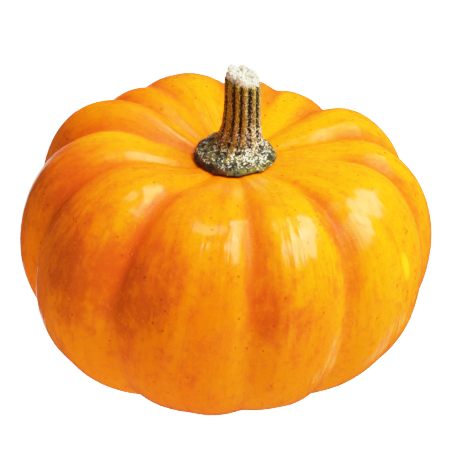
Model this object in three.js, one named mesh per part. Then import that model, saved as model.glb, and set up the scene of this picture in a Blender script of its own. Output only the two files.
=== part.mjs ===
// A small, flattened, ribbed pumpkin, as picked, with its dry stem.
// The fruit is one solid with twelve unequal lobes. It leans a little, and rests on a small flat spot round its
// blossom end. The stem is a second solid: a ridged neck on a flared foot, broken off to a pale, lumpy end.
// Units are millimetres and +Z is up. The origin is the middle of the outline, at the level the fruit rests on.
// Azimuths are in degrees from the front (-Y), growing towards the right (+X).

import * as THREE from "three";

// Fruit: a turned form, drawn up round the stem and in round the blossom end
const FRUIT_RADIUS = 62.3;
const SHOULDER_RISE = 45.5;
const BELLY_DROP = 40.6;
const SHOULDER_POWERS = { radius: 0.76, height: 0.92 };
const BELLY_POWERS = { radius: 0.94, height: 0.92 };
const STEM_HOLLOW = { depth: 19, radius: 30 };
const BLOSSOM_HOLLOW = { depth: 3.8, radius: 11 };
const BLOSSOM_SCAR = { height: 1.1, radius: 3.2, steepness: 4 };
const REST_SPOT_RISE = 0.8;

// The fruit's plan isn't round: how far each wave of the outline swells it, as a share of its radius
const PLAN_SWELL = { front: -0.025, right: 0.003, frontAndBack: 0.005, diagonal: -0.021 };

// The upper part leans to the right, over a level base. The stem's seat moves with it, but stays level.
const LEAN = { angle: 6.4, from: -40, to: 15.6, levelWithin: 8, fullBeyond: 32 };

// Furrows between the lobes: azimuth, depth, sideways drift per radian down the side, and how far the lobe that
// follows it stands out
const FURROWS = [
  { at: 5, depth: 3.2, drift: 1.4, lobe: 0.1 },
  { at: 35, depth: 3.4, drift: -4.2, lobe: -0.3 },
  { at: 79, depth: 3.7, drift: -10.5, lobe: -0.2 },
  { at: 108, depth: 3.6, drift: -2, lobe: 0.7 },
  { at: 140, depth: 4.8, drift: -1.5, lobe: -1 },
  { at: 164, depth: 3, drift: 2, lobe: 0.3 },
  { at: 184, depth: 3.6, drift: 0, lobe: 0.2 },
  { at: 216, depth: 2.3, drift: 0, lobe: 0.3 },
  { at: 234, depth: 4, drift: 1, lobe: 1.6 },
  { at: 259, depth: 5, drift: -1.5, lobe: -0.8 },
  { at: 292, depth: 4.2, drift: -3, lobe: -0.3 },
  { at: 327.5, depth: 4.6, drift: 1, lobe: -1.2 },
];
const FURROW_WIDTH = 9;
const FURROW_ROUNDING = 0.3;
const FURROW_START_LEVEL = 1.2;
const LOBE_FULLNESS = 0.35;

// Furrows and lobes grow with the distance from the stem, as a share of the fruit's radius, and fade underneath,
// over a polar angle below the fruit's widest level
const RELIEF_GROWTH = { from: 0.06, to: 0.5 };
const RELIEF_FADE = { share: 0.85, over: 1.25 };

// Faint flutes on the broad lobes
const FLUTES = [
  { at: 349, depth: 0.45 },
  { at: 18, depth: 0.4 },
  { at: 53, depth: 0.45 },
  { at: 310, depth: 0.5 },
  { at: 275, depth: 0.35 },
  { at: 124, depth: 0.4 },
  { at: 204, depth: 0.35 },
];
const FLUTE_WIDTH = 4.5;

// Stem: a broad foot on the fruit's skin, then a neck with twelve unequal ridges, broken off to pale pith.
// Radii are to the ridges' tops. Heights are above the foot's edge. The neck stands to the right of the foot.
const STEM_SEAT_GAP = 0.4;
const FOOT_UNDERSIDE = [3.5, 7, 9.8, 11.2];
const STEM_OUTLINE = [
  { radius: 11.5, height: 0.5, shift: -0.1, grooved: 0.1 },
  { radius: 11.2, height: 1.2, shift: -0.3, grooved: 0.2 },
  { radius: 10.4, height: 2.2, shift: -0.8, grooved: 0.35 },
  { radius: 9.4, height: 3.3, shift: -0.55, grooved: 0.5 },
  { radius: 7.8, height: 4.3, shift: 0.25, grooved: 0.65 },
  { radius: 6.8, height: 5.7, shift: 0.8, grooved: 0.8 },
  { radius: 6.1, height: 7.6, shift: 1.2, grooved: 0.9 },
  { radius: 5.6, height: 10.1, shift: 1.45, grooved: 1 },
  { radius: 5.3, height: 13.2, shift: 1.65, grooved: 1 },
  { radius: 5.15, height: 16.6, shift: 1.75, grooved: 1 },
  { radius: 5.05, height: 20, shift: 1.8, grooved: 1 },
  { radius: 5, height: 23.3, shift: 1.8, grooved: 0.9 },
  { radius: 4.6, height: 23.8, shift: 1.8, grooved: 0.5 },
];
const STEM_GROOVES = [
  { at: 22, depth: 1 },
  { at: 55, depth: 0.9 },
  { at: 86, depth: 0.8 },
  { at: 115, depth: 0.9 },
  { at: 143, depth: 0.75 },
  { at: 173, depth: 0.95 },
  { at: 204, depth: 0.8 },
  { at: 234, depth: 0.9 },
  { at: 263, depth: 0.75 },
  { at: 294, depth: 0.7 },
  { at: 331, depth: 0.75 },
  { at: 354, depth: 0.85 },
];
const RIDGE_ROUNDNESS = 0.7;
const FOOT_LOBES = { count: 5, at: -10, height: 0.3 };
const FOOT_LEVELLED_AT = 4;

// The break: higher on the left, with lumps of pith round a small pit
const BREAK_SLANT = { rise: 1.1, towards: 270, from: 15, to: 23 };
const PITH_OUTLINE = [
  { radius: 4.55, height: 24.3, lumps: 0.15 },
  { radius: 4.4, height: 25.6, lumps: 0.35 },
  { radius: 3.7, height: 26.3, lumps: 0.6 },
  { radius: 2.5, height: 26.3, lumps: 0.5 },
  { radius: 1.3, height: 25.6, lumps: 0.2 },
];
const PITH_PIT_HEIGHT = 25;
const PITH_LUMPS = [
  { count: 6, at: 0.4, share: 0.7 },
  { count: 4, at: 2, share: 0.4 },
];

// How finely the surfaces are cut into facets. The fruit's rings crowd towards its two ends.
const COLUMNS_PER_LOBE = 10;
const SHOULDER_RINGS = 17;
const BELLY_RINGS = 14;
const RING_CROWDING = 1.25;
const COLUMNS_PER_RIDGE = 7;

const RIND_COLOUR = 0xf39208;
const STEM_COLOUR = 0x7d6a3a;

const radians = THREE.MathUtils.degToRad;

function smoothStep(low, high, x) {
  return THREE.MathUtils.smoothstep(x, low, high);
}

// The shorter way round from one azimuth to another, in degrees
function azimuthBetween(from, to) {
  return THREE.MathUtils.euclideanModulo(to - from + 180, 360) - 180;
}

// Height that a hollow takes at a radius, nothing at the fruit's side
function hollow({ depth, radius }, r) {
  return depth * (Math.exp(-((r / radius) ** 2)) - Math.exp(-((FRUIT_RADIUS / radius) ** 2)));
}

// The plain turned form: polar angle from the stem (0) to the blossom end (pi)
function turnedProfile(polar) {
  const c = Math.cos(polar);
  const upper = c >= 0;
  const powers = upper ? SHOULDER_POWERS : BELLY_POWERS;
  const r = FRUIT_RADIUS * Math.abs(Math.sin(polar)) ** powers.radius;
  const rise = Math.abs(c) ** powers.height;
  const scar = BLOSSOM_SCAR.height * Math.exp(-((r / BLOSSOM_SCAR.radius) ** BLOSSOM_SCAR.steepness));
  return upper
    ? { r, z: SHOULDER_RISE * rise - hollow(STEM_HOLLOW, r) }
    : { r, z: -BELLY_DROP * rise + hollow(BLOSSOM_HOLLOW, r) - scar };
}

// Outward direction of the turned form in its own half-plane
function turnedNormal(polar) {
  const step = 1e-3;
  const above = turnedProfile(Math.max(polar - step, 0));
  const below = turnedProfile(Math.min(polar + step, Math.PI));
  const run = below.r - above.r;
  const fall = above.z - below.z;
  const length = Math.hypot(run, fall) || 1;
  return { r: fall / length, z: run / length };
}

// Azimuth of a furrow at a polar angle, with its drift
function furrowAzimuth(furrow, polar) {
  return furrow.at + furrow.drift * (polar - FURROW_START_LEVEL);
}

// A rounded notch across a furrow, 1 at its bottom
function notch(offset) {
  return Math.exp(FURROW_ROUNDING - Math.hypot(offset, FURROW_ROUNDING));
}

// How far the surface stands off the turned form, at an azimuth and polar angle
function relief(azimuth, polar, r) {
  const grown = smoothStep(RELIEF_GROWTH.from, RELIEF_GROWTH.to, r / FRUIT_RADIUS);
  const faded = 1 - RELIEF_FADE.share * smoothStep(0, RELIEF_FADE.over, polar - Math.PI / 2);
  let height = 0;
  FURROWS.forEach((furrow, i) => {
    const next = FURROWS[(i + 1) % FURROWS.length];
    const width = THREE.MathUtils.euclideanModulo(next.at - furrow.at, 360);
    const fromFurrow = azimuthBetween(furrowAzimuth(furrow, polar), azimuth);
    const fromMiddle = azimuthBetween(furrow.at + width / 2, azimuth);
    height -= furrow.depth * faded * notch(fromFurrow / FURROW_WIDTH);
    height += furrow.lobe * faded * Math.exp(-((fromMiddle / (LOBE_FULLNESS * width)) ** 2));
  });
  for (const flute of FLUTES) {
    height -= flute.depth * faded * Math.exp(-((azimuthBetween(flute.at, azimuth) / FLUTE_WIDTH) ** 2));
  }
  return height * grown;
}

// The upper part turned to the right about the fruit's middle, the base left level
function leaned(x, y, z) {
  const angle = radians(LEAN.angle) * smoothStep(LEAN.from, LEAN.to, z);
  const levelled = z > 0 ? smoothStep(LEAN.levelWithin, LEAN.fullBeyond, Math.hypot(x, y)) : 1;
  return new THREE.Vector3(
    x * Math.cos(angle) + z * Math.sin(angle),
    y,
    z * Math.cos(angle) - x * Math.sin(angle) * levelled,
  );
}

// A point of the fruit's skin, raised by a clearance, before the lean
function skinPoint(azimuth, polar, clearance = 0) {
  const profile = turnedProfile(polar);
  const normal = turnedNormal(polar);
  const height = relief(azimuth, polar, profile.r);
  const a = radians(azimuth);
  const swell =
    1 +
    PLAN_SWELL.front * Math.cos(a) +
    PLAN_SWELL.right * Math.sin(a) +
    PLAN_SWELL.frontAndBack * Math.cos(2 * a) +
    PLAN_SWELL.diagonal * Math.sin(2 * a);
  const r = (profile.r + normal.r * height) * swell;
  return [r * Math.sin(a), -r * Math.cos(a), profile.z + normal.z * height + clearance];
}

// Polar angle at which the turned form reaches a radius, near the stem
function polarAtRadius(r) {
  return Math.asin((r / FRUIT_RADIUS) ** (1 / SHOULDER_POWERS.radius));
}

// A closed surface through rings of points, with a point at each end. The rings are listed from the bottom up, and
// each runs anticlockwise as seen from above.
function closedSurface(bottom, rings, top) {
  const columns = rings[0].length;
  const points = [bottom, ...rings.flat(), top];
  const last = points.length - 1;
  const index = [];
  const at = (ring, column) => 1 + ring * columns + (column % columns);
  for (let c = 0; c < columns; c++) {
    index.push(0, at(0, c + 1), at(0, c));
    index.push(last, at(rings.length - 1, c), at(rings.length - 1, c + 1));
    for (let ring = 0; ring + 1 < rings.length; ring++) {
      index.push(at(ring, c), at(ring, c + 1), at(ring + 1, c + 1));
      index.push(at(ring, c), at(ring + 1, c + 1), at(ring + 1, c));
    }
  }
  const geometry = new THREE.BufferGeometry().setFromPoints(points);
  geometry.setIndex(index);
  geometry.computeVertexNormals();
  return geometry;
}

// Columns of facets that follow the furrows down the side, so that each furrow's bottom is an edge
function fruitRing(polar) {
  const ring = [];
  FURROWS.forEach((furrow, i) => {
    const next = FURROWS[(i + 1) % FURROWS.length];
    const from = furrowAzimuth(furrow, polar);
    const width = THREE.MathUtils.euclideanModulo(furrowAzimuth(next, polar) - from, 360);
    for (let c = 0; c < COLUMNS_PER_LOBE; c++) {
      ring.push(leaned(...skinPoint(from + (width * c) / COLUMNS_PER_LOBE, polar)));
    }
  });
  return ring;
}

function fruitGeometry() {
  const polars = [];
  for (let i = 1; i <= BELLY_RINGS; i++) {
    polars.push(Math.PI - (Math.PI / 2) * (i / (BELLY_RINGS + 1)) ** RING_CROWDING);
  }
  for (let i = 0; i <= SHOULDER_RINGS; i++) {
    polars.push((Math.PI / 2) * (1 - i / (SHOULDER_RINGS + 1)) ** RING_CROWDING);
  }
  const rings = polars.map(fruitRing);
  const bottom = leaned(...skinPoint(0, Math.PI));
  const top = leaned(...skinPoint(0, 0));
  const lowest = Math.min(...rings.flat().map((p) => p.z));
  const restLevel = lowest + REST_SPOT_RISE;
  for (const p of rings.flat()) {
    p.z = Math.max(p.z, restLevel);
  }
  return { geometry: closedSurface(bottom, rings, top), restLevel };
}

// Columns of the stem's facets: each groove's bottom is an edge, and the ridges between are rounded
function stemColumns() {
  return STEM_GROOVES.flatMap((groove, i) => {
    const next = STEM_GROOVES[(i + 1) % STEM_GROOVES.length];
    const width = THREE.MathUtils.euclideanModulo(next.at - groove.at, 360);
    return Array.from({ length: COLUMNS_PER_RIDGE }, (_, c) => {
      const across = c / COLUMNS_PER_RIDGE;
      const depth = THREE.MathUtils.lerp(groove.depth, next.depth, across);
      return {
        azimuth: groove.at + width * across,
        sunk: depth * (1 - Math.sin(Math.PI * across) ** RIDGE_ROUNDNESS),
      };
    });
  });
}

function stemGeometry() {
  const columns = stemColumns();
  const seat = leaned(...skinPoint(0, 0, STEM_SEAT_GAP));
  const onSkin = (radius) =>
    columns.map(({ azimuth }) => leaned(...skinPoint(azimuth, polarAtRadius(radius), STEM_SEAT_GAP)));
  const edge = onSkin(FOOT_UNDERSIDE.at(-1));
  const edgeLevel = edge.reduce((sum, p) => sum + p.z, 0) / edge.length;
  const footLobe = (azimuth) =>
    FOOT_LOBES.height * Math.cos(radians(azimuth - FOOT_LOBES.at) * FOOT_LOBES.count);
  const slant = (azimuth) => BREAK_SLANT.rise * Math.cos(radians(azimuth - BREAK_SLANT.towards));

  // The foot's edge keeps to the skin below it. Higher up, the rings are level, and the last ones slant.
  const side = STEM_OUTLINE.map(({ radius, height, shift, grooved }) =>
    columns.map(({ azimuth, sunk }, i) => {
      const a = radians(azimuth);
      const r = radius - grooved * sunk + (1 - grooved) * footLobe(azimuth);
      const level = THREE.MathUtils.lerp(edge[i].z, edgeLevel, smoothStep(0, FOOT_LEVELLED_AT, height));
      const z = level + height + slant(azimuth) * smoothStep(BREAK_SLANT.from, BREAK_SLANT.to, height);
      return new THREE.Vector3(seat.x + shift + r * Math.sin(a), seat.y - r * Math.cos(a), z);
    }),
  );

  const shift = STEM_OUTLINE.at(-1).shift;
  const pith = PITH_OUTLINE.map(({ radius, height, lumps }) =>
    columns.map(({ azimuth }) => {
      const a = radians(azimuth);
      const waves = PITH_LUMPS.map(({ count, at, share }) => share * Math.cos(count * a + at));
      const lump = lumps * waves.reduce((sum, wave) => sum + wave);
      const z = edgeLevel + height + lump + (slant(azimuth) * radius) / STEM_OUTLINE.at(-1).radius;
      return new THREE.Vector3(seat.x + shift + radius * Math.sin(a), seat.y - radius * Math.cos(a), z);
    }),
  );
  const pit = new THREE.Vector3(seat.x + shift, seat.y, edgeLevel + PITH_PIT_HEIGHT);
  return closedSurface(seat, [...FOOT_UNDERSIDE.map(onSkin), ...side, ...pith], pit);
}

const { geometry: fruitSurface, restLevel } = fruitGeometry();
const fruit = new THREE.Mesh(
  fruitSurface,
  new THREE.MeshStandardMaterial({ color: RIND_COLOUR, roughness: 0.32, metalness: 0 }),
);
fruit.name = "fruit";

const stem = new THREE.Mesh(
  stemGeometry(),
  new THREE.MeshStandardMaterial({ color: STEM_COLOUR, roughness: 0.8, metalness: 0 }),
);
stem.name = "stem";

// The whole is set with the middle of its outline over the origin, and its flat spot at the level of the origin
const pumpkin = new THREE.Group();
pumpkin.add(fruit, stem);
const outline = new THREE.Box3().setFromObject(pumpkin);
const middle = outline.getCenter(new THREE.Vector3());
pumpkin.position.set(-middle.x, -middle.y, -restLevel);

export default pumpkin;
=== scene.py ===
import math

import bmesh
import bpy
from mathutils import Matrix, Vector, noise


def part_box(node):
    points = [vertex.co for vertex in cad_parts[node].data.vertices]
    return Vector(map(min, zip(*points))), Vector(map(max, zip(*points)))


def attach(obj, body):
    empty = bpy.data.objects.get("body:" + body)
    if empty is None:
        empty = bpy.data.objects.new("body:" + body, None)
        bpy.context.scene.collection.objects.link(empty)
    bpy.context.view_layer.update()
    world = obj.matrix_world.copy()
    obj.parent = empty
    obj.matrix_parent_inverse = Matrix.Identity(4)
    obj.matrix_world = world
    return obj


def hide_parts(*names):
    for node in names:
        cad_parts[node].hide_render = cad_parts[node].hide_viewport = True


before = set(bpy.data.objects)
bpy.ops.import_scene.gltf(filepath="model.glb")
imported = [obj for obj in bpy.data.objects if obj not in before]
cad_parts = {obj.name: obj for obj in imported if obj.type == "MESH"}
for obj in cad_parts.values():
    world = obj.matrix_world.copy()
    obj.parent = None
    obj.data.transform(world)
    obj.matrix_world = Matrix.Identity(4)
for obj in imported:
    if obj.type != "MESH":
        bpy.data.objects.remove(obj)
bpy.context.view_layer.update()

MM = 0.001

# The fruit's form, in millimetres and degrees. Azimuths go from the front towards the right.
FRUIT_RADIUS = 62.3
SHOULDER_RISE = 45.5
BELLY_DROP = 40.6
SHOULDER_RADIUS_POWER = 0.76
BELLY_RADIUS_POWER = 0.94
HEIGHT_POWER = 0.92
STEM_HOLLOW_DEPTH = 19
STEM_HOLLOW_RADIUS = 30
BLOSSOM_HOLLOW_DEPTH = 3.8
BLOSSOM_HOLLOW_RADIUS = 11
BLOSSOM_SCAR_HEIGHT = 1.1
BLOSSOM_SCAR_RADIUS = 3.2
REST_SPOT_RISE = 0.8

# How the plan departs from a circle, as shares of the radius
SWELL_FRONT = -0.025
SWELL_RIGHT = 0.003
SWELL_FRONT_AND_BACK = 0.005
SWELL_DIAGONAL = -0.021

# The top leans to the right between two heights. Near the axis it stays level.
LEAN_ANGLE = 6.4
LEAN_FROM = -40
LEAN_TO = 15.6
LEVEL_WITHIN = 8
LEANED_BEYOND = 32

# Azimuth, depth, sideways drift per radian down the side, and how far the next lobe stands out
FURROWS = [
    (5, 3.2, 1.4, 0.1),
    (35, 3.4, -4.2, -0.3),
    (79, 3.7, -10.5, -0.2),
    (108, 3.6, -2, 0.7),
    (140, 4.8, -1.5, -1),
    (164, 3, 2, 0.3),
    (184, 3.6, 0, 0.2),
    (216, 2.3, 0, 0.3),
    (234, 4, 1, 1.6),
    (259, 5, -1.5, -0.8),
    (292, 4.2, -3, -0.3),
    (327.5, 4.6, 1, -1.2),
]
FURROW_WIDTH = 9
FURROW_ROUNDING = 0.3
FURROW_START_LEVEL = 1.2

# Azimuth and depth of the faint flutes on the broad lobes
FLUTES = [(349, 0.45), (18, 0.4), (53, 0.45), (310, 0.5), (275, 0.35), (124, 0.4), (204, 0.35)]
FLUTE_WIDTH = 4.5

# How far out from the stem the lobes begin and are full, as a share of the radius, how much of them
# is lost under the belly and within what angle, and how broad a lobe's own swelling is
LOBES_FROM = 0.06
LOBES_FULL = 0.5
LOST_BELOW = 0.85
LOST_WITHIN = 1.25
LOBE_SWELLING = 0.35

# The gap under the stem's foot, and the radii of the rings of its underside
STEM_SEAT_GAP = 0.4
FOOT_UNDERSIDE = [0, 3.5, 7, 9.8, 11.2]
# The stem's side: radius to the ridges' tops, height above the foot's edge, shift to the right,
# and how deep the grooves are there
STEM_OUTLINE = [
    (11.5, 0.5, -0.1, 0.1),
    (11.2, 1.2, -0.3, 0.2),
    (10.4, 2.2, -0.8, 0.35),
    (9.4, 3.3, -0.55, 0.5),
    (7.8, 4.3, 0.25, 0.65),
    (6.8, 5.7, 0.8, 0.8),
    (6.1, 7.6, 1.2, 0.9),
    (5.6, 10.1, 1.45, 1),
    (5.3, 13.2, 1.65, 1),
    (5.15, 16.6, 1.75, 1),
    (5.05, 20, 1.8, 1),
    (5, 23.3, 1.8, 0.9),
    (4.6, 23.8, 1.8, 0.5),
]
# Azimuth and depth of the grooves between the ridges
STEM_GROOVES = [
    (22, 1),
    (55, 0.9),
    (86, 0.8),
    (115, 0.9),
    (143, 0.75),
    (173, 0.95),
    (204, 0.8),
    (234, 0.9),
    (263, 0.75),
    (294, 0.7),
    (331, 0.75),
    (354, 0.85),
]
# The foot's own lobes, and the slant of the break, which is higher on the left
FOOT_LOBES = 5
FOOT_LOBE_AT = -10
FOOT_LOBE_HEIGHT = 0.3
BREAK_RISE = 1.1
BREAK_TOWARDS = 270
# The pith: radius, height above the foot's edge, and how lumpy it is
PITH_OUTLINE = [
    (4.55, 24.3, 0.15),
    (4.4, 25.6, 0.35),
    (3.7, 26.3, 0.6),
    (2.5, 26.3, 0.5),
    (1.3, 25.6, 0.2),
    (0, 25, 0),
]


def clamped(x, low, high):
    return min(max(x, low), high)


def smooth_step(low, high, x):
    t = clamped((x - low) / (high - low), 0, 1)
    return t * t * (3 - 2 * t)


def mixed(a, b, share):
    return a + (b - a) * share


def azimuth_between(start, end):
    return (end - start + 180) % 360 - 180


def hollow(depth, radius, r):
    return depth * (math.exp(-((r / radius) ** 2)) - math.exp(-((FRUIT_RADIUS / radius) ** 2)))


def turned_profile(polar):
    c = math.cos(polar)
    power = SHOULDER_RADIUS_POWER if c >= 0 else BELLY_RADIUS_POWER
    r = FRUIT_RADIUS * abs(math.sin(polar)) ** power
    rise = abs(c) ** HEIGHT_POWER
    if c >= 0:
        return r, SHOULDER_RISE * rise - hollow(STEM_HOLLOW_DEPTH, STEM_HOLLOW_RADIUS, r)
    scar = BLOSSOM_SCAR_HEIGHT * math.exp(-((r / BLOSSOM_SCAR_RADIUS) ** 4))
    return r, hollow(BLOSSOM_HOLLOW_DEPTH, BLOSSOM_HOLLOW_RADIUS, r) - BELLY_DROP * rise - scar


def turned_normal(polar):
    step = 1e-3
    above = turned_profile(max(polar - step, 0))
    below = turned_profile(min(polar + step, math.pi))
    run = below[0] - above[0]
    fall = above[1] - below[1]
    length = math.hypot(run, fall) or 1
    return fall / length, run / length


def furrow_azimuth(furrow, polar):
    return furrow[0] + furrow[2] * (polar - FURROW_START_LEVEL)


def notch(offset):
    return math.exp(FURROW_ROUNDING - math.hypot(offset, FURROW_ROUNDING))


def lobe_width(i):
    return (FURROWS[(i + 1) % len(FURROWS)][0] - FURROWS[i][0]) % 360


def relief(azimuth, polar, r):
    """How far the skin stands off the turned form."""
    grown = smooth_step(LOBES_FROM, LOBES_FULL, r / FRUIT_RADIUS)
    faded = 1 - LOST_BELOW * smooth_step(0, LOST_WITHIN, polar - math.pi / 2)
    height = 0
    for i, furrow in enumerate(FURROWS):
        sunk = notch(azimuth_between(furrow_azimuth(furrow, polar), azimuth) / FURROW_WIDTH)
        height -= furrow[1] * faded * sunk
        width = lobe_width(i)
        from_middle = azimuth_between(furrow[0] + width / 2, azimuth)
        height += furrow[3] * faded * math.exp(-((from_middle / (LOBE_SWELLING * width)) ** 2))
    for at, depth in FLUTES:
        height -= depth * faded * math.exp(-((azimuth_between(at, azimuth) / FLUTE_WIDTH) ** 2))
    return height * grown


def plan_swell(a):
    return (
        1
        + SWELL_FRONT * math.cos(a)
        + SWELL_RIGHT * math.sin(a)
        + SWELL_FRONT_AND_BACK * math.cos(2 * a)
        + SWELL_DIAGONAL * math.sin(2 * a)
    )


def leaned(x, y, z):
    angle = math.radians(LEAN_ANGLE) * smooth_step(LEAN_FROM, LEAN_TO, z)
    tilt = smooth_step(LEVEL_WITHIN, LEANED_BEYOND, math.hypot(x, y)) if z > 0 else 1
    return Vector(
        (
            x * math.cos(angle) + z * math.sin(angle),
            y,
            z * math.cos(angle) - x * math.sin(angle) * tilt,
        )
    )


def skin_point(azimuth, polar, raised=0, clearance=0):
    """A point of the skin, raised straight off it, and then lifted by the clearance."""
    r, z = turned_profile(polar)
    out, up = turned_normal(polar)
    height = relief(azimuth, polar, r) + raised
    a = math.radians(azimuth)
    side = (r + out * height) * plan_swell(a)
    return leaned(side * math.sin(a), -side * math.cos(a), z + up * height + clearance)


def seat_point(azimuth, r):
    """A point of the stem's seat: a small gap above the skin, at a distance from the fruit's axis."""
    polar = math.asin((r / FRUIT_RADIUS) ** (1 / SHOULDER_RADIUS_POWER))
    return skin_point(azimuth, polar, clearance=STEM_SEAT_GAP)


# Camera: some 34 degrees above the level, with a long lens, at six times the fruit's radius
VIEW_ELEVATION = math.radians(34)
VIEW_DISTANCE = 6 * FRUIT_RADIUS * MM
LENS = 102
AIM_ABOVE_MIDDLE = 4.66 * MM


def add_camera(middle):
    camera = bpy.data.objects.new("camera", bpy.data.cameras.new("camera"))
    bpy.context.scene.collection.objects.link(camera)
    bpy.context.scene.camera = camera
    camera.data.sensor_width = 36
    camera.data.lens = LENS
    back = Vector((0, -math.cos(VIEW_ELEVATION), math.sin(VIEW_ELEVATION)))
    up = Vector((0, math.sin(VIEW_ELEVATION), math.cos(VIEW_ELEVATION)))
    camera.location = middle + back * VIEW_DISTANCE
    aim = middle + up * AIM_ABOVE_MIDDLE
    camera.rotation_mode = "QUATERNION"
    camera.rotation_quaternion = (aim - camera.location).to_track_quat("-Z", "Y")
    camera.data.clip_start = 0.01
    camera.data.clip_end = 20


def new_piece(name, bm, material):
    """The finished mesh as a shaded piece that rides on the pumpkin."""
    mesh = bpy.data.meshes.new(name)
    bm.to_mesh(mesh)
    bm.free()
    mesh.materials.append(material)
    mesh.shade_smooth()
    piece = bpy.data.objects.new(name, mesh)
    bpy.context.scene.collection.objects.link(piece)
    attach(piece, "root")
    return piece


# Small crests and dips along the lobes: azimuth, height and width in degrees
CRESTS = [
    (-3, -0.08, 1),
    (-7, -0.12, 1.3),
    (-13, 1.05, 5.5),
    (-22, -0.3, 3),
    (12.5, 0.2, 1.8),
    (16, 0.6, 5),
    (24, -0.1, 1.2),
    (-47, 0.8, 7),
    (-57, -0.4, 4),
    (49, 0.5, 6),
    (66, 0.4, 7),
    (93, 0.7, 6),
    (126, 0.6, 6),
    (152, 0.5, 5),
    (200, 0.7, 6),
    (247, 0.8, 6),
    (276, 0.8, 7),
]
# The furrows' own creases, steeper on their left than on their right, and how far the painted shade
# along each crease reaches on its left and on its right
CREASE_DEPTH = 0.4
CREASE_WIDTH_LEFT = 2.4
CREASE_WIDTH_RIGHT = 7
CREASE_SHADE_LEFT = 4.2
CREASE_SHADE_RIGHT = 8.5
# Patches of darker orange, painted shade on the lobes' left flanks that face away from the lamps, and
# like patches of uneven colour round the back: azimuth, way down, half width and half height in degrees,
# and strength
SHADE_AND_COLOUR_PATCHES = [
    (-44, 72, 14, 21, 1),
    (-22, 68, 9, 23, 0.85),
    (11, 67, 7.5, 20, 0.85),
    (-8.5, 82, 2.5, 26, 0.5),
    (34, 41, 3.5, 15, 0.9),
    (-33, 62, 4.5, 22, 0.65),
    (-78, 45, 9, 12, 0.5),
    (-120, 33, 8, 10, 0.5),
    (-143, 30, 7, 10, 0.4),
    (-68, 56, 10, 16, 0.8),
    (-88, 70, 12, 18, 0.9),
    (-116, 60, 8, 20, 0.6),
    (112, 74, 10, 22, 0.7),
    (146, 66, 9, 18, 0.8),
    (178, 80, 11, 20, 0.9),
    (212, 70, 9, 24, 0.8),
]
# One small pale yellow patch, a painted highlight on the right edge, and the patches where the wax is
# dull
PAINTED_HIGHLIGHT_PATCH = [(57, 68, 1.6, 6, 1)]
DULL = [
    (-108, 36, 46, 26, 1),
    (130, 38, 28, 22, 0.5),
]
# Bands down the fruit, in radians from the top: where each thing starts, is full, fades and ends
CREST_BAND = (0.5, 1.1, 1.5, 2.1)
CREASE_BAND = (0.35, 0.9, 1.9, 2.7)
# Where the painted shade along the creases lies
CREASE_SHADE_BAND = (0.05, 0.5, 0.9, 2.1)
# Where all the fine relief fades out above the flat spot
FINE_FADES = (2.2, 2.7)
# How finely the skin is cut, and its own small unevenness along the lobes
SKIN_COLUMNS = 312
SKIN_RINGS = 168
SKIN_WOBBLE = 0.22
SKIN_RIPPLE = 0.05


def in_band(polar, band):
    start, full, fading, end = band
    return smooth_step(start, full, polar) * (1 - smooth_step(fading, end, polar))


def crest_height(azimuth, polar):
    height = 0
    for at, rise, width in CRESTS:
        height += rise * math.exp(-((azimuth_between(at, azimuth) / width) ** 2))
    return height * in_band(polar, CREST_BAND)


def crease(azimuth, polar):
    """The creases' height, and the painted shade along them, from 0 to 1, which grows nearer a crease
    and reaches further on its right.
    """
    height = 0
    painted_shade = 0
    for furrow in FURROWS:
        offset = azimuth_between(furrow_azimuth(furrow, polar), azimuth)
        width = CREASE_WIDTH_RIGHT if offset > 0 else CREASE_WIDTH_LEFT
        height -= CREASE_DEPTH * furrow[1] * notch(offset / width)
        shade_width = CREASE_SHADE_RIGHT if offset > 0 else CREASE_SHADE_LEFT
        painted_shade = max(painted_shade, notch(offset / shade_width))
    return height * in_band(polar, CREASE_BAND), painted_shade * in_band(polar, CREASE_SHADE_BAND)


def patches_at(azimuth, polar, patches):
    strength = 0
    for at, down, half_width, half_height, full in patches:
        across = azimuth_between(at, azimuth) / half_width
        along = (math.degrees(polar) - down) / half_height
        strength += full * math.exp(-((across**2 + along**2) ** 1.2))
    return min(strength, 1)


def skin_unevenness(a, polar):
    around = Vector((math.sin(a), -math.cos(a), 0))
    wobble = noise.noise(around * 5 + Vector((0, 0, polar * 1.6)))
    ripple = noise.noise(around * 26 + Vector((7, 0, polar * 3)))
    off_axis = smooth_step(0.1, 0.4, turned_profile(polar)[0] / FRUIT_RADIUS)
    return (SKIN_WOBBLE * wobble + SKIN_RIPPLE * ripple) * off_axis


def fruit_form():
    """A fine ball moved into the fruit's shape. Each point keeps its way round and down the fruit."""
    bm = bmesh.new()
    bmesh.ops.create_uvsphere(bm, u_segments=SKIN_COLUMNS, v_segments=SKIN_RINGS, radius=1)
    way = bm.verts.layers.float_vector.new("way")
    furrow = bm.verts.layers.float.new("furrow")
    patch_shade_and_colour = bm.verts.layers.float.new("shade_and_colour_patches")
    painted_highlight = bm.verts.layers.float.new("pale")
    duller = bm.verts.layers.float.new("dull")
    for v in bm.verts:
        polar = math.acos(clamped(v.co.z, -1, 1))
        a = math.atan2(v.co.x, -v.co.y)
        azimuth = math.degrees(a)
        creased, crease_shade = crease(azimuth, polar)
        fine = skin_unevenness(a, polar) + crest_height(azimuth, polar) + creased
        v.co = skin_point(azimuth, polar, raised=fine * (1 - smooth_step(*FINE_FADES, polar)))
        v[way] = (math.sin(a), -math.cos(a), polar)
        # The furrow attribute carries the painted shade along the creases
        v[furrow] = crease_shade
        # Painted shade in patches on the lobes' flanks, with like patches of uneven colour round the
        # back
        v[patch_shade_and_colour] = patches_at(azimuth, polar, SHADE_AND_COLOUR_PATCHES)
        # A painted highlight on the right edge
        v[painted_highlight] = patches_at(azimuth, polar, PAINTED_HIGHLIGHT_PATCH)
        v[duller] = patches_at(azimuth, polar, DULL)
    return bm


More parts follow.
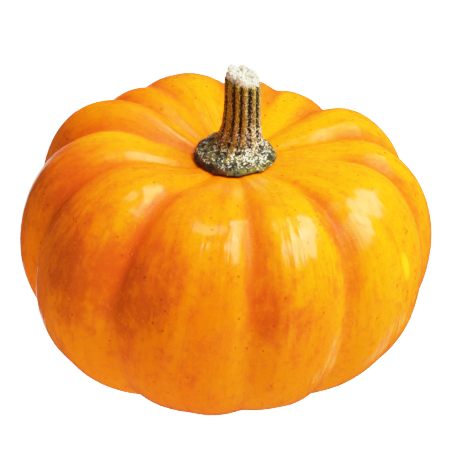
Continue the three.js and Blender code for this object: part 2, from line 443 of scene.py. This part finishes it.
def settled(bm):
    """Sets the fruit on its flat spot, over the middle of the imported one, and returns the move."""
    low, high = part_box("fruit")
    middle = (low + high) / 2 / MM
    xs = [v.co.x for v in bm.verts]
    ys = [v.co.y for v in bm.verts]
    rest = min(v.co.z for v in bm.verts) + REST_SPOT_RISE
    move = Vector((middle.x - (min(xs) + max(xs)) / 2, middle.y - (min(ys) + max(ys)) / 2, -rest))
    for v in bm.verts:
        v.co = (v.co + move) * MM
        v.co.z = max(v.co.z, 0)
    return move


def groove_depth(azimuth):
    """Depth of the stem's surface below its ridges' tops."""
    for i, (at, depth) in enumerate(STEM_GROOVES):
        next_at, next_depth = STEM_GROOVES[(i + 1) % len(STEM_GROOVES)]
        width = (next_at - at) % 360
        past = (azimuth - at) % 360
        if past <= width:
            across = past / width
            return mixed(depth, next_depth, across) * (1 - abs(math.sin(math.pi * across)) ** 0.7)
    return 0


STEM_COLUMNS = 288
ROWS_PER_STEP = 6
# While the rows are spun they are this far apart, and a hair off the axis
ROW_SPACING = 0.4
HAIR = 0.001
# The seat's own ups and downs are gone this far up, and the slant of the break comes in between these
EVEN_ABOVE = 4
SLANT_FROM = 15
SLANT_FULL = 23
# Unevenness of the whole stem, of the foot on top of that, and the finer grain
STEM_LUMPS = 0.14
FOOT_LUMPS = 0.2
STEM_GRAIN = 0.13


def eased_rows(rows):
    """More rows between the given ones, on a smooth curve through them."""
    found = []
    last = len(rows) - 1
    for i in range(last):
        before = rows[max(i - 1, 0)]
        start = rows[i]
        end = rows[i + 1]
        after = rows[min(i + 2, last)]
        for step in range(ROWS_PER_STEP):
            t = step / ROWS_PER_STEP
            row = []
            for p, q, s, w in zip(before, start, end, after):
                row.append(
                    0.5
                    * (
                        2 * q
                        + (s - p) * t
                        + (2 * p - 5 * q + 4 * s - w) * t**2
                        + (3 * q - p - 3 * s + w) * t**3
                    )
                )
            found.append(row)
    found.append(list(rows[last]))
    return found


def break_slant(azimuth):
    return BREAK_RISE * math.cos(math.radians(azimuth - BREAK_TOWARDS))


def foot_lobe(azimuth):
    return FOOT_LOBE_HEIGHT * math.cos(math.radians(azimuth - FOOT_LOBE_AT) * FOOT_LOBES)


def turned(outline, columns):
    """An outline of radius and height, spun into a closed form. Each point keeps its row's number."""
    bm = bmesh.new()
    row = bm.verts.layers.float.new("row")
    chain = []
    for i, (radius, height) in enumerate(outline):
        v = bm.verts.new((radius, 0, height))
        v[row] = i
        chain.append(v)
    edges = [bm.edges.new(pair) for pair in zip(chain, chain[1:])]
    bmesh.ops.spin(
        bm,
        geom=chain + edges,
        cent=(0, 0, 0),
        axis=(0, 0, 1),
        angle=math.tau,
        steps=columns,
        use_merge=True,
    )
    bmesh.ops.remove_doubles(bm, verts=bm.verts, dist=1e-5)
    bmesh.ops.recalc_face_normals(bm, faces=bm.faces)
    return bm


def side_radius(a, azimuth, row):
    """How far out the stem's side is, with its grooves, the foot's lobes and its roughness."""
    radius, height, _, grooved = row
    r = radius - grooved * groove_depth(azimuth) + (1 - grooved) * foot_lobe(azimuth)
    around = Vector((math.sin(a), -math.cos(a), 0))
    lumps = noise.noise(around * 6 + Vector((0, 0, height * 0.5)))
    grain = noise.noise(around * 17 + Vector((0, 0, height * 1.6)))
    return r + (STEM_LUMPS + FOOT_LUMPS * (1 - grooved)) * lumps + STEM_GRAIN * grain


def pith_point(a, azimuth, row):
    """A point of the crumbly pith, from the stem's axis and the foot's level."""
    radius, height, lumps = row
    radius = max(radius, 0)
    lump = lumps * (0.7 * math.cos(6 * a + 0.4) + 0.4 * math.cos(4 * a + 2))
    at = Vector((radius * math.sin(a), -radius * math.cos(a), 0))
    crumb = 0.55 * noise.noise(at * 0.9 + Vector((3, 1, height * 0.5)))
    crumb += 0.35 * noise.noise(at * 2.3 + Vector((9, 4, height)))
    at *= 1 + 0.05 * crumb
    at.z = height + lump + crumb + break_slant(azimuth) * radius / STEM_OUTLINE[-1][0]
    return at


def stem_form(move):
    seat = seat_point(0, 0)
    edge = [seat_point(360 * i / STEM_COLUMNS, FOOT_UNDERSIDE[-1]).z for i in range(STEM_COLUMNS)]
    edge_level = sum(edge) / len(edge)
    side = eased_rows(STEM_OUTLINE)
    pith = eased_rows(PITH_OUTLINE)
    side_from = len(FOOT_UNDERSIDE)
    pith_from = side_from + len(side)
    radii = FOOT_UNDERSIDE + [row[0] for row in side + pith]
    outline = [(radius + HAIR, i * ROW_SPACING) for i, radius in enumerate(radii)]
    outline[0] = (0, outline[0][1])
    outline[-1] = (0, outline[-1][1])
    bm = turned(outline, STEM_COLUMNS)
    row_number = bm.verts.layers.float["row"]
    pithy = bm.verts.layers.float.new("pith")
    rise = bm.verts.layers.float.new("height")
    groove = bm.verts.layers.float.new("groove")
    way = bm.verts.layers.float_vector.new("way")
    for v in bm.verts:
        i = round(v[row_number])
        a = math.atan2(v.co.x, -v.co.y)
        azimuth = math.degrees(a) % 360
        if i < side_from:
            v.co = seat_point(azimuth, FOOT_UNDERSIDE[i])
        elif i < pith_from:
            row = side[i - side_from]
            _, height, shift, grooved = row
            r = side_radius(a, azimuth, row)
            column = round(azimuth / 360 * STEM_COLUMNS) % STEM_COLUMNS
            z = mixed(edge[column], edge_level, smooth_step(0, EVEN_ABOVE, height)) + height
            z += break_slant(azimuth) * smooth_step(SLANT_FROM, SLANT_FULL, height)
            v.co = Vector((seat.x + shift + r * math.sin(a), seat.y - r * math.cos(a), z))
            v[rise] = height
            v[groove] = groove_depth(azimuth) * grooved
        else:
            row = pith[i - pith_from]
            shift = STEM_OUTLINE[-1][2]
            v.co = pith_point(a, azimuth, row) + Vector((seat.x + shift, seat.y, edge_level))
            v[rise] = row[1]
            v[pithy] = 1
        v[way] = (math.sin(a), -math.cos(a), v[rise])
    for v in bm.verts:
        v.co = (v.co + move) * MM
    return bm


class Recipe:
    """A short way to write a material's nodes."""

    def __init__(self, name):
        self.material = bpy.data.materials.new(name)
        self.material.use_nodes = True
        self.tree = self.material.node_tree
        self.shader = self.tree.nodes["Principled BSDF"]

    def node(self, kind, **settings):
        made = self.tree.nodes.new(kind)
        for key, value in settings.items():
            setattr(made, key, value)
        return made

    def link(self, source, target):
        self.tree.links.new(source, target)

    def attribute(self, name):
        return self.node("ShaderNodeAttribute", attribute_name=name)

    def stretched(self, source, scale):
        mapping = self.node("ShaderNodeMapping")
        mapping.inputs["Scale"].default_value = scale
        self.link(source, mapping.inputs["Vector"])
        return mapping.outputs["Vector"]

    def noise(self, vector, scale, detail=3, roughness=0.5, distortion=0):
        made = self.node("ShaderNodeTexNoise")
        made.inputs["Scale"].default_value = scale
        made.inputs["Detail"].default_value = detail
        made.inputs["Roughness"].default_value = roughness
        made.inputs["Distortion"].default_value = distortion
        self.link(vector, made.inputs["Vector"])
        return made.outputs["Fac"]

    def cells(self, vector, scale):
        made = self.node("ShaderNodeTexVoronoi")
        made.inputs["Scale"].default_value = scale
        self.link(vector, made.inputs["Vector"])
        return made

    def ranged(self, value, low, high, out_low=0, out_high=1):
        """The value, eased from one range into another."""
        made = self.node("ShaderNodeMapRange", interpolation_type="SMOOTHSTEP")
        made.inputs["From Min"].default_value = low
        made.inputs["From Max"].default_value = high
        made.inputs["To Min"].default_value = out_low
        made.inputs["To Max"].default_value = out_high
        self.link(value, made.inputs["Value"])
        return made.outputs["Result"]

    def maths(self, operation, a, b):
        """A sum, difference or product, where b may be a plain number."""
        made = self.node("ShaderNodeMath", operation=operation)
        self.link(a, made.inputs[0])
        if isinstance(b, (int, float)):
            made.inputs[1].default_value = b
        else:
            self.link(b, made.inputs[1])
        return made.outputs["Value"]

    def blended(self, share, a, b):
        """A mix of two colours, each a colour or another node's output."""
        made = self.node("ShaderNodeMix", data_type="RGBA")
        self.link(share, made.inputs["Factor"])
        for name, value in (("A", a), ("B", b)):
            socket = next(s for s in made.inputs if s.name == name and s.type == "RGBA")
            if isinstance(value, tuple):
                socket.default_value = (*value, 1)
            else:
                self.link(value, socket)
        return next(s for s in made.outputs if s.type == "RGBA")

    def bump(self, height, strength, distance, under=None):
        made = self.node("ShaderNodeBump")
        made.inputs["Strength"].default_value = strength
        made.inputs["Distance"].default_value = distance
        self.link(height, made.inputs["Height"])
        if under is not None:
            self.link(under, made.inputs["Normal"])
        return made.outputs["Normal"]


RIND_ORANGE = (0.94, 0.163, 0.001)
RIND_YELLOW = (0.98, 0.22, 0.001)
RIND_DEEP = (0.55, 0.061, 0.006)
RIND_FLECK = (1, 0.32, 0.012)
RIND_SPOT = (0.33, 0.04, 0.002)
RIND_PALE = (1, 0.4, 0.004)
SCAR_TAN = (0.32, 0.17, 0.06)
SCAR_BROWN = (0.12, 0.055, 0.02)
# The blossom scar's half width and the width of its edge, in radians from the bottom
SCAR_EDGE = 0.075
SCAR_BLUR = 0.02


def waxy_rind():
    r = Recipe("waxy rind")
    way = r.attribute("way").outputs["Vector"]
    # The painted shade along the creases, which also makes them rougher and less shiny
    furrow = r.attribute("furrow").outputs["Fac"]
    patch_shade_and_colour = r.attribute("shade_and_colour_patches").outputs["Fac"]
    painted_highlight = r.attribute("pale").outputs["Fac"]
    duller = r.attribute("dull").outputs["Fac"]
    down = r.node("ShaderNodeSeparateXYZ")
    r.link(way, down.inputs["Vector"])
    place = r.node("ShaderNodeTexCoord").outputs["Object"]
    streaks = r.noise(r.stretched(way, (1, 1, 0.12)), 34, detail=4, roughness=0.6)
    strands = r.noise(r.stretched(way, (1, 1, 0.3)), 13, detail=4, roughness=0.6)
    broad = r.noise(r.stretched(way, (1, 1, 0.35)), 2.6, detail=3)
    clouds = r.noise(place, 130, detail=4, roughness=0.6)
    mottle = r.noise(place, 520, detail=4, roughness=0.7)
    # Yellower at random along broad bands, and towards the right, the side the main lamps light: the
    # yellowing towards the right is painted light
    ripeness_and_lit_side = r.maths("ADD", broad, r.ranged(down.outputs["X"], -0.1, 0.8, 0, 0.16))
    colour = r.blended(r.ranged(ripeness_and_lit_side, 0.36, 0.72), RIND_ORANGE, RIND_YELLOW)
    colour = r.blended(r.ranged(streaks, 0.5, 0.75, 0, 0.4), colour, RIND_DEEP)
    # Painted shade: darker orange along the creases, widest on each crease's right side, with ragged
    # edges
    uneven_crease_shade = r.maths("ADD", furrow, r.ranged(strands, 0.3, 0.7, -0.14, 0.1))
    colour = r.blended(r.ranged(uneven_crease_shade, 0.3, 1, 0, 0.68), colour, RIND_DEEP)
    # Painted shade in ragged patches on the lobes' left flanks, with like patches of uneven colour round
    # the back
    ragged = r.ranged(strands, 0.3, 0.7, -0.32, 0.32)
    ragged = r.maths("ADD", ragged, r.ranged(clouds, 0.3, 0.7, -0.28, 0.28))
    patches = r.ranged(r.maths("ADD", patch_shade_and_colour, ragged), 0, 1.2)
    colour = r.blended(r.maths("MULTIPLY", patches, 0.78), colour, RIND_DEEP)
    colour = r.blended(r.ranged(mottle, 0.5, 0.75, 0, 0.45), colour, RIND_DEEP)
    colour = r.blended(r.ranged(mottle, 0.42, 0.25, 0, 0.35), colour, RIND_FLECK)
    grains = r.noise(place, 1600, detail=2, roughness=0.6)
    fleck = r.maths("MULTIPLY", r.ranged(grains, 0.56, 0.72), r.ranged(clouds, 0.4, 0.6, 0.1, 0.34))
    colour = r.blended(fleck, colour, RIND_FLECK)
    colour = r.blended(r.ranged(grains, 0.42, 0.3, 0, 0.35), colour, RIND_DEEP)
    dots = r.cells(place, 330)
    small = r.ranged(dots.outputs["Distance"], 0.06, 0.16, 1, 0)
    chosen = r.node("ShaderNodeSeparateColor")
    r.link(dots.outputs["Color"], chosen.inputs["Color"])
    chance = r.maths("ADD", chosen.outputs["Red"], r.maths("MULTIPLY", patch_shade_and_colour, 0.3))
    picked = r.ranged(chance, 0.44, 0.5, 0, 0.8)
    colour = r.blended(r.maths("MULTIPLY", small, picked), colour, RIND_SPOT)
    # Painted highlight: a small pale yellow patch on the right edge, with ragged edges
    painted_highlight_share = r.maths("MULTIPLY", painted_highlight, r.maths("ADD", ragged, 1))
    colour = r.blended(r.ranged(painted_highlight_share, 0.2, 1, 0, 0.7), colour, RIND_PALE)
    to_scar = r.maths("ADD", down.outputs["Z"], r.ranged(mottle, 0.3, 0.7, -0.015, 0.015))
    cork = r.blended(r.ranged(grains, 0.4, 0.6), SCAR_BROWN, SCAR_TAN)
    scar_from = math.pi - SCAR_EDGE
    colour = r.blended(r.ranged(to_scar, scar_from, scar_from + SCAR_BLUR), colour, cork)
    r.link(colour, r.shader.inputs["Base Color"])
    gloss = r.ranged(strands, 0.3, 0.7, 0.06, 0.13)
    gloss = r.maths("ADD", gloss, r.ranged(furrow, 0.4, 0.9, 0, 0.06))
    r.link(r.maths("ADD", gloss, r.ranged(duller, 0, 1, 0, 0.25)), r.shader.inputs["Roughness"])
    shine = r.maths("MULTIPLY", r.ranged(furrow, 0.25, 0.75, 0.46, 0.1), r.ranged(duller, 0, 1, 1, 0.35))
    r.link(shine, r.shader.inputs["Specular IOR Level"])
    r.shader.inputs["IOR"].default_value = 1.28
    r.shader.inputs["Subsurface Weight"].default_value = 0.1
    r.shader.inputs["Subsurface Radius"].default_value = (1, 0.3, 0.05)
    r.shader.inputs["Subsurface Scale"].default_value = 0.005
    ribs = r.noise(r.stretched(way, (1, 1, 0.14)), 16, detail=2)
    shown_ribs = r.maths("MULTIPLY", ribs, r.ranged(down.outputs["Z"], 0.35, 0.95, 0.15, 1))
    normal = r.bump(shown_ribs, 0.55, 0.0009)
    normal = r.bump(streaks, 0.06, 0.0006, normal)
    normal = r.bump(mottle, 0.12, 0.0004, normal)
    r.link(normal, r.shader.inputs["Normal"])
    return r.material


STEM_RUST = (0.66, 0.37, 0.02)
STEM_DARK = (0.012, 0.008, 0.001)
STEM_PALE = (0.64, 0.49, 0.11)
FOOT_GREEN = (0.065, 0.078, 0.034)
FOOT_CRACK = (0.006, 0.006, 0.002)
RIM_GREEN = (0.15, 0.135, 0.01)
RIM_SHADOW_BROWN = (0.07, 0.022, 0.004)
SPECK_WHITE = (0.6, 0.6, 0.5)
PITH_CREAM = (0.7, 0.67, 0.54)
PITH_SHADE = (0.16, 0.14, 0.07)


def dry_stem():
    r = Recipe("dry stem")
    way = r.attribute("way").outputs["Vector"]
    place = r.node("ShaderNodeTexCoord").outputs["Object"]
    groove = r.attribute("groove").outputs["Fac"]
    height = r.attribute("height").outputs["Fac"]
    pith = r.attribute("pith").outputs["Fac"]
    sides = r.node("ShaderNodeSeparateXYZ")
    r.link(way, sides.inputs["Vector"])
    fibre = r.noise(r.stretched(way, (1, 1, 0.06)), 9, detail=5, roughness=0.65)
    threads = r.noise(r.stretched(way, (1, 1, 0.1)), 16, detail=4, roughness=0.7)
    speckle = r.noise(place, 1300, detail=3, roughness=0.6)
    clouds = r.noise(place, 320, detail=3, roughness=0.6)
    # Paler towards the right, the side the lamps light, which is painted light, and paler along some
    # fibres at random
    lit_side_and_fibre = r.maths("ADD", r.ranged(sides.outputs["X"], -0.15, 0.5, -0.1, 0.25), fibre)
    colour = r.blended(r.ranged(lit_side_and_fibre, 0.42, 0.66), STEM_RUST, STEM_PALE)
    # Painted shade: near black down the grooves between the ridges, a little more towards the right,
    # broken up by dark threads
    groove_shade_and_threads = r.maths("ADD", groove, r.ranged(threads, 0.3, 0.7, 0.42, -0.34))
    groove_shade_and_threads = r.maths("ADD", groove_shade_and_threads, r.ranged(sides.outputs["X"], -0.1, 0.6, -0.02, 0.08))
    colour = r.blended(r.ranged(groove_shade_and_threads, 0.16, 0.4, 0, 0.97), colour, STEM_DARK)
    lines = r.noise(r.stretched(way, (1, 1, 0.16)), 30, detail=3, roughness=0.7)
    colour = r.blended(r.ranged(lines, 0.56, 0.45, 0, 0.88), colour, STEM_DARK)
    foot = r.ranged(r.maths("ADD", height, r.ranged(fibre, 0.3, 0.7, -2, 2)), 2.6, 6.5, 1, 0)
    cracks = r.noise(r.stretched(place, (1, 1, 1.6)), 480, detail=4, roughness=0.75, distortion=0.6)
    colour = r.blended(foot, colour, FOOT_GREEN)
    # Painted shadow: a dark reddish-brown band low on the foot's left side, where it meets the fruit; on
    # the right the band is yellow-green
    rim_colour_and_shadow = r.blended(r.ranged(sides.outputs["X"], -0.5, 0.2), RIM_SHADOW_BROWN, RIM_GREEN)
    rim = r.maths("MULTIPLY", r.ranged(height, 1.1, 2.3, 1, 0), r.ranged(clouds, 0.36, 0.5, 0.15, 0.95))
    colour = r.blended(rim, colour, rim_colour_and_shadow)
    frost = r.noise(place, 1700, detail=2, roughness=0.6)
    dense = r.ranged(height, 1, 2.6, -0.1, 0.045)
    sparse = r.ranged(height, 5, 15, 0, 0.13)
    level = r.maths("SUBTRACT", dense, sparse)
    level = r.maths("ADD", level, r.ranged(clouds, 0.35, 0.65, -0.05, 0.05))
    level = r.maths("ADD", level, r.ranged(sides.outputs["X"], -0.7, 0.6, -0.05, 0.03))
    level = r.maths("ADD", level, r.ranged(groove, 0, 0.5, 0, 0.01))
    specks = r.ranged(r.maths("ADD", frost, level), 0.555, 0.605)
    colour = r.blended(specks, colour, SPECK_WHITE)
    cracked = r.maths("MULTIPLY", r.ranged(cracks, 0.52, 0.44), r.ranged(height, 5, 10, 0.95, 0))
    colour = r.blended(cracked, colour, FOOT_CRACK)
    crumbs = r.noise(place, 900, detail=4, roughness=0.7)
    pale = r.blended(r.ranged(crumbs, 0.36, 0.52), PITH_SHADE, PITH_CREAM)
    colour = r.blended(pith, colour, pale)
    r.link(colour, r.shader.inputs["Base Color"])
    r.shader.inputs["Roughness"].default_value = 0.7
    r.shader.inputs["Specular IOR Level"].default_value = 0.25
    normal = r.bump(threads, 0.6, 0.0008)
    normal = r.bump(cracks, 0.5, 0.0006, normal)
    normal = r.bump(speckle, 0.6, 0.0005, normal)
    r.link(normal, r.shader.inputs["Normal"])
    return r.material


PAPER_GREY = (0.5, 0.5, 0.5, 1)
PAPER_GLOW = 2.95
ROOM_LIGHT = 0.05
LIGHT_COLOUR = (1, 0.97, 0.86)
LAMPS_AIM_AT = Vector((0, 0, 0.04))
# How the picture's tones roll off: a light's strength and how bright it shows
TONES = [
    (0, 0),
    (0.2, 0.2),
    (0.4, 0.41),
    (0.6, 0.6),
    (0.8, 0.73),
    (1, 0.8),
    (1.5, 0.89),
    (2, 0.945),
    (3, 1),
]


def studio_floor():
    bm = bmesh.new()
    bmesh.ops.create_grid(bm, x_segments=1, y_segments=1, size=3)
    mesh = bpy.data.meshes.new("floor")
    bm.to_mesh(mesh)
    bm.free()
    r = Recipe("white paper")
    r.shader.inputs["Base Color"].default_value = PAPER_GREY
    r.shader.inputs["Roughness"].default_value = 0.9
    r.shader.inputs["Emission Color"].default_value = (1, 1, 1, 1)
    r.shader.inputs["Emission Strength"].default_value = PAPER_GLOW
    mesh.materials.append(r.material)
    floor = bpy.data.objects.new("floor", mesh)
    floor.visible_glossy = False
    floor.visible_diffuse = False
    floor.visible_shadow = False
    bpy.context.scene.collection.objects.link(floor)


def soft_box(name, azimuth, elevation, distance, size, radiance, mirrored=True):
    """A rectangular lamp that faces the pumpkin from an azimuth and elevation, in degrees."""
    lamp = bpy.data.lights.new(name, "AREA")
    lamp.shape = "RECTANGLE"
    lamp.size, lamp.size_y = size
    lamp.energy = radiance * size[0] * size[1] * math.pi
    lamp.color = LIGHT_COLOUR
    a, e = math.radians(azimuth), math.radians(elevation)
    out = Vector((math.sin(a) * math.cos(e), -math.cos(a) * math.cos(e), math.sin(e)))
    box = bpy.data.objects.new(name, lamp)
    box.location = LAMPS_AIM_AT + out * distance
    box.rotation_mode = "QUATERNION"
    box.rotation_quaternion = out.to_track_quat("Z", "Y")
    box.visible_glossy = mirrored
    bpy.context.scene.collection.objects.link(box)


def room():
    world = bpy.data.worlds.new("room")
    world.use_nodes = True
    background = world.node_tree.nodes["Background"]
    background.inputs["Color"].default_value = (1, 1, 1, 1)
    background.inputs["Strength"].default_value = ROOM_LIGHT
    bpy.context.scene.world = world


def tone_curve():
    view = bpy.context.scene.view_settings
    view.view_transform = "Standard"
    view.use_curve_mapping = True
    brightest = TONES[-1][0]
    mapping = view.curve_mapping
    mapping.white_level = (brightest, brightest, brightest)
    curve = mapping.curves[3]
    for strength, shown in TONES[1:-1]:
        curve.points.new(strength / brightest, shown)
    mapping.update()


def studio_light():
    """The room, and lamps by name, azimuth, elevation, distance, size and strength."""
    room()
    soft_box("window_top", 150, 80, 1.2, (0.36, 0.32), 6.5)
    soft_box("window_left_strip", 42, 57, 1.2, (0.1, 0.7), 13)
    soft_box("window_middle", 74, 51, 1.2, (0.64, 0.72), 17)
    soft_box("window_right", 114, 49, 1.2, (0.68, 0.64), 13.6)
    soft_box("far_wall", -70, 15, 1.2, (1.6, 1.2), 1.2, mirrored=False)
    soft_box("table_bounce", 60, -76, 0.5, (2.4, 2.4), 2.3, mirrored=False)
    soft_box("table_behind_right", 106, -48, 1, (0.3, 0.35), 0.9)
    soft_box("table_behind_left", -161, -25, 1.1, (0.36, 0.6), 1.25)
    tone_curve()


fruit_bm = fruit_form()
settled_by = settled(fruit_bm)
add_camera(settled_by * MM)
fruit = new_piece("pumpkin_fruit", fruit_bm, waxy_rind())
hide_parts("fruit")
stem = new_piece("pumpkin_stem", stem_form(settled_by), dry_stem())
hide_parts("stem")
studio_floor()
studio_light()
